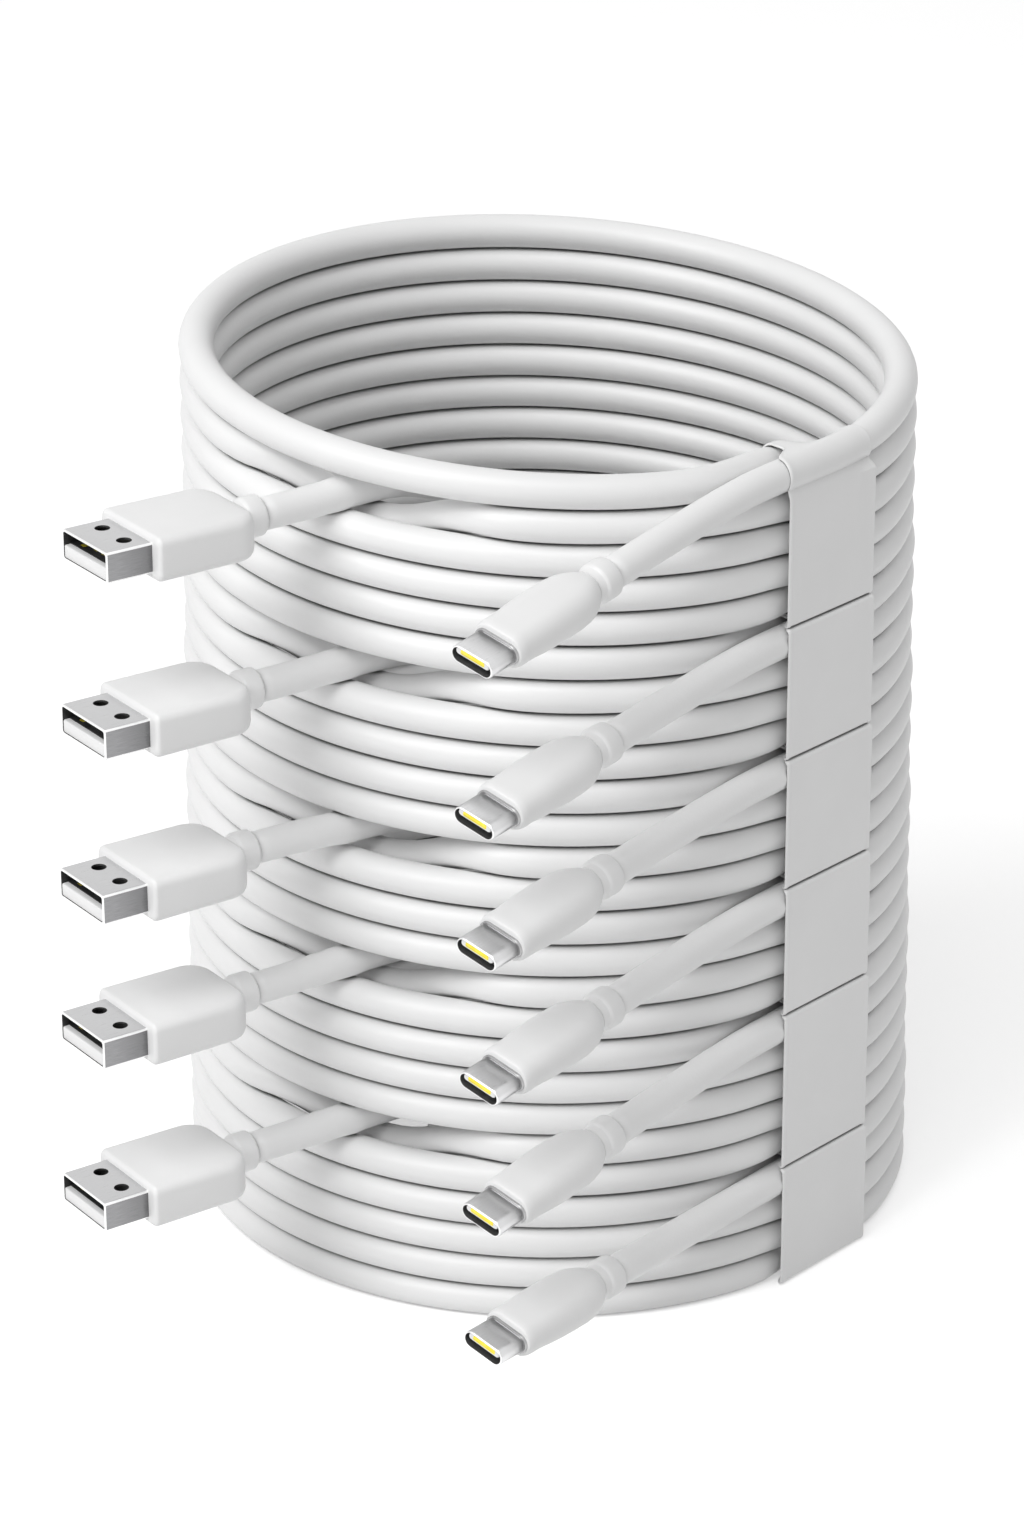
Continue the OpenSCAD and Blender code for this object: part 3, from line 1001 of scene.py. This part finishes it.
def usb_c_insert(name, m):
    """A pale block in the upper side of the mouth, with the dark slot below it: a dark block behind,
    which is painted shade.
    """
    length, width, height = C_SHELL
    w, h, mouth = width / 2 - WALL, height / 2 - WALL, C_FACE + length
    shade_block = [(x, w - 0.01, h - 0.01, h) for x in (C_FACE, mouth - C_SHADE_BACK)]
    dark = rounded_loft(name + "_dark", shade_block, m)
    dark.data.materials.append(PAINTED_SHADE)
    side = w - C_BLOCK_IN
    block = [
        (mouth - C_SHADE_BACK - 0.1, side, C_BLOCK_H, 0.5),
        (mouth - 0.25, side, C_BLOCK_H, 0.5),
        (mouth - 0.14, side - 0.07, C_BLOCK_H - 0.07, 0.43),
    ]
    pale = rounded_loft(name + "_pale", block, m @ Matrix.Translation((0, 0, h - C_BLOCK_H)))
    pale.data.materials.append(TONGUE)
    return joined(name, [dark, pale])


def usb_c_gold(name, m):
    """Contact strip on the block's front."""
    length, width, height = C_SHELL
    front, side = C_FACE + length - 0.1, width / 2 - C_STRIP_IN
    strip = [(x, side, C_STRIP_H, 0.25) for x in (front - 0.4, front - 0.04)]
    strip.append((front, side - 0.06, C_STRIP_H - 0.04, 0.2))
    z = height / 2 - WALL - C_STRIP_DOWN
    return rounded_loft(name, strip, m @ Matrix.Translation((0, 0, z)))


# ---- straps ----


def bends_left(a, b, c):
    return (b[0] - a[0]) * (c[1] - a[1]) > (b[1] - a[1]) * (c[0] - a[0])


def hull(points):
    """The convex hull of (x, y) points, counterclockwise."""
    points = sorted(set(points))

    def chain(row):
        out = []
        for p in row:
            while len(out) > 1 and not bends_left(out[-2], out[-1], p):
                out.pop()
            out.append(p)
        return out[:-1]

    return chain(points) + chain(points[::-1])


def turns_at(i, a):
    """Where cable i's turns cross azimuth a under its strap, as (radius, height), the top one first."""
    top = place_z(i, TURNS[i - 1] - 1, a)
    out = [(radius(i) / cos_d(max(LEAVE_A - a, 0)), top)]
    for k in range(1, TURNS[i - 1] + 1):
        p = wound_point(i, a + 360 * k)
        out.append((math.hypot(p.x, p.y), p.z))
    return out


def panel_r(i, a):
    """Radius at azimuth a of the outer panel, which is flat from edge to edge."""
    p = plan(STRAP_FROM, radius(i) + CABLE_R + STRAP_OUT_LEFT)
    q = plan(STRAP_TO, radius(i) + CABLE_R + STRAP_OUT_RIGHT)
    d, ray = q - p, plan(a, 1)
    return (p[0] * d[1] - p[1] * d[0]) / (ray[0] * d[1] - ray[1] * d[0])


def fold(r, z, upward):
    """The outer panel's rounded fold at its lower or upper end, going up."""
    points = []
    for n in range(FOLD_POINTS + 1):
        a = 90 * n / FOLD_POINTS
        if upward:
            points.append((r - FOLD_R + FOLD_R * sin_d(a), z + FOLD_R - FOLD_R * cos_d(a)))
        else:
            points.append((r - FOLD_R + FOLD_R * cos_d(a), z - FOLD_R + FOLD_R * sin_d(a)))
    return points


def strap_section(i, a):
    """The film's middle line round the turns at azimuth a, as (radius, height)."""
    far, turns = panel_r(i, a), turns_at(i, a)
    reach = CABLE_R + FILM / 2 + FILM_OFF
    low = max(place_z(i, 0, a) - CABLE_R - FILM / 2 + FILM_LAP, FILM / 2)
    high = turns[0][1] + CABLE_R + FILM / 2 - FILM_LAP
    points = fold(far, low, upward=True)
    if i == 1:
        # The film of the top coil hugs the leaving cable and folds below it.
        r, z = turns[0]
        points.append((far, z - CABLE_R - HUG_FOLD))
        points += [(r + reach * cos_d(n), z + reach * sin_d(n)) for n in range(HUG_FROM, 91, 10)]
    else:
        points += fold(far, high, upward=False)
    # Inside, the film is drawn tight round the turns.
    start, end = points[-1], points[0]
    cloud = [start, end] + [
        (r + reach * cos_d(n), min(max(z + reach * sin_d(n), low), high))
        for r, z in turns
        for n in range(0, 360, 15)
    ]
    ring = hull([(round(x, 4), round(y, 4)) for x, y in cloud])
    near_start = min(range(len(ring)), key=lambda n: math.dist(ring[n], start))
    ring = ring[near_start:] + ring[:near_start]
    near_end = min(range(1, len(ring)), key=lambda n: math.dist(ring[n], end))
    inner = resampled([raised(q, 0) for q in ring[: near_end + 1]], 1, INNER_POINTS)
    return points + [(q.x, q.y) for q in inner[1:-1]]


def strap_rows():
    """(azimuth, share of the thickness, how far it stands proud) across the strap."""
    plain = HEM[-1][0]
    between = STRAP_TO - STRAP_FROM - 2 * plain
    rows = [(STRAP_FROM + e, t, h) for e, t, h in HEM]
    rows += [(STRAP_FROM + plain + between * k / STRAP_STEPS, 1, 0) for k in range(1, STRAP_STEPS)]
    return rows + [(STRAP_TO - e, t, h) for e, t, h in HEM[::-1]]


def strap_rings(i, a, thick, proud):
    """The film's outer and inner side at azimuth a."""
    middle = strap_section(i, a)
    count = len(middle)
    behind = count - (INNER_POINTS - 1)
    outer, inner = [], []
    for n, (r, z) in enumerate(middle):
        (r0, z0), (r1, z1) = middle[n - 1], middle[(n + 1) % count]
        d = Vector((r1 - r0, z1 - z0)).normalized()
        off = Vector((d[1], -d[0]))
        # The film is narrower where it runs behind the turns.
        back = ramp(min(n - behind + 1, count - n) / INNER_EASE) if n >= behind else 0
        at = a - back * INNER_NARROWER * (a - WRAP_A) / (STRAP_TO - WRAP_A)
        half = FILM * HALF_SHEET * thick
        for out, s in ((outer, proud + half), (inner, proud - half)):
            q = plan(at, r + s * off[0])
            out.append(raised(q, max(z + s * off[1], 0)))
    return outer, inner


def make_strap(i):
    rings = [strap_rings(i, *row) for row in strap_rows()]
    sides = len(rings[0][0])
    order = [o for o, _ in rings] + [n for _, n in reversed(rings)]
    verts = [v for ring in order for v in ring]
    obj = new_object(f"film_strap_{i}", verts, loft_faces(len(order), sides, closed=True), sharp=35)
    return dress(obj, FILM_MAT, f"cable_{i}", "strap", f"strap_{i}")


# ---- the six cables ----


def droop(i):
    """How far cable i's USB-C plug hangs down, in degrees."""
    (x0, drop0), (x1, drop1) = LEAD_C[-2:]
    return math.degrees(math.atan2((drop1 - drop0) * C_DROP[i - 1], x1 - x0))


def make_cable(i):
    body = f"cable_{i}"
    path = cable_path(i)
    cord = tube(f"cord_{i}", path, reaches(i, path))
    dress(cord, CABLE, body, "cable", f"coil_{i}", f"lead_a_{i}", f"lead_c_{i}")
    a_at = place_on(path[-1], ("Z", OUT_HEADING[i - 1]))
    c_at = place_on(path[0], ("Z", C_HEADING), ("Y", droop(i)), ("X", C_ROLL))
    pieces = [
        dress(usb_a_grip(f"a_grip_{i}", a_at), GRIP, body, "grip", f"usb_a_grip_{i}"),
        dress(usb_a_shell(f"a_shell_{i}", a_at), None, body, "shell", f"usb_a_shell_{i}"),
        dress(usb_a_tongue(f"a_tongue_{i}", a_at), TONGUE, body, "tongue", f"usb_a_tongue_{i}"),
        dress(usb_a_contacts(f"a_contacts_{i}", a_at), None, body, "contacts"),
        dress(usb_c_grip(f"c_grip_{i}", c_at), GRIP, body, "grip", f"usb_c_grip_{i}"),
        dress(usb_c_shell(f"c_shell_{i}", c_at), None, body, "shell", f"usb_c_shell_{i}"),
        dress(usb_c_insert(f"c_lining_{i}", c_at), None, body, "tongue", f"usb_c_insert_{i}"),
        dress(usb_c_gold(f"c_contacts_{i}", c_at), GOLD, body, "contacts"),
    ]


for i in range(1, COILS + 1):
    make_cable(i)
    make_strap(i)

# ---- floor, light ----

FLOOR_SIDE = 6000
# The floor lies this far below the object, in metres.
FLOOR_BELOW = 0.0002
# What the camera sees of the floor is lifted to white by this much, but keeps its shadow.
FLOOR_GLOW = 0.43
# The world's strength on the object. The camera sees 1, which is white.
FILL = 0.42


def seen_directly(tree):
    """1 for rays from the camera, off gloss or through glass, else 0."""
    paths = tree.nodes.new("ShaderNodeLightPath")
    found = paths.outputs["Is Camera Ray"]
    for kind in ("Is Glossy Ray", "Is Transmission Ray"):
        either = tree.nodes.new("ShaderNodeMath")
        either.operation = "MAXIMUM"
        tree.links.new(found, either.inputs[0])
        tree.links.new(paths.outputs[kind], either.inputs[1])
        found = either.outputs[0]
    return found


def make_floor():
    s = FLOOR_SIDE / 2
    floor = new_object("floor", [(-s, -s, 0), (s, -s, 0), (s, s, 0), (-s, s, 0)], [(0, 1, 2, 3)])
    mat, tree, shader = material("floor", grey(0.86), 0.9)
    shader.inputs["Specular IOR Level"].default_value = 0.1
    glow = tree.nodes.new("ShaderNodeMath")
    glow.operation = "MULTIPLY"
    glow.inputs[1].default_value = FLOOR_GLOW
    tree.links.new(seen_directly(tree), glow.inputs[0])
    shader.inputs["Emission Color"].default_value = (1, 1, 1, 1)
    tree.links.new(glow.outputs[0], shader.inputs["Emission Strength"])
    floor.data.materials.append(mat)
    floor.location.z = -FLOOR_BELOW


def make_world():
    world = bpy.data.worlds.new("studio")
    bpy.context.scene.world = world
    world.use_nodes = True
    sky = world.node_tree
    background = sky.nodes["Background"]
    background.inputs["Color"].default_value = (1, 1, 1, 1)
    level = sky.nodes.new("ShaderNodeMapRange")
    level.inputs["To Min"].default_value = FILL
    level.inputs["To Max"].default_value = 1.0
    sky.links.new(seen_directly(sky), level.inputs["Value"])
    sky.links.new(level.outputs["Result"], background.inputs["Strength"])


def soft_light(name, at, size, power):
    """A square light in metres and watts, aimed at the middle of the roll."""
    data = bpy.data.lights.new(name, "AREA")
    data.shape = "SQUARE"
    data.size = size
    data.energy = power
    lamp = bpy.data.objects.new(name, data)
    lamp.location = at
    aim = Vector((0, 0, VIEW_AT_Z * MM)) - Vector(at)
    lamp.rotation_mode = "QUATERNION"
    lamp.rotation_quaternion = aim.to_track_quat("-Z", "Y")
    bpy.context.scene.collection.objects.link(lamp)


make_floor()
make_world()
soft_light("key", (-0.85, -0.8, 1.15), 0.9, 12)
soft_light("top", (-0.1, -0.75, 1.5), 0.9, 6)

bpy.context.scene.view_settings.view_transform = "Standard"
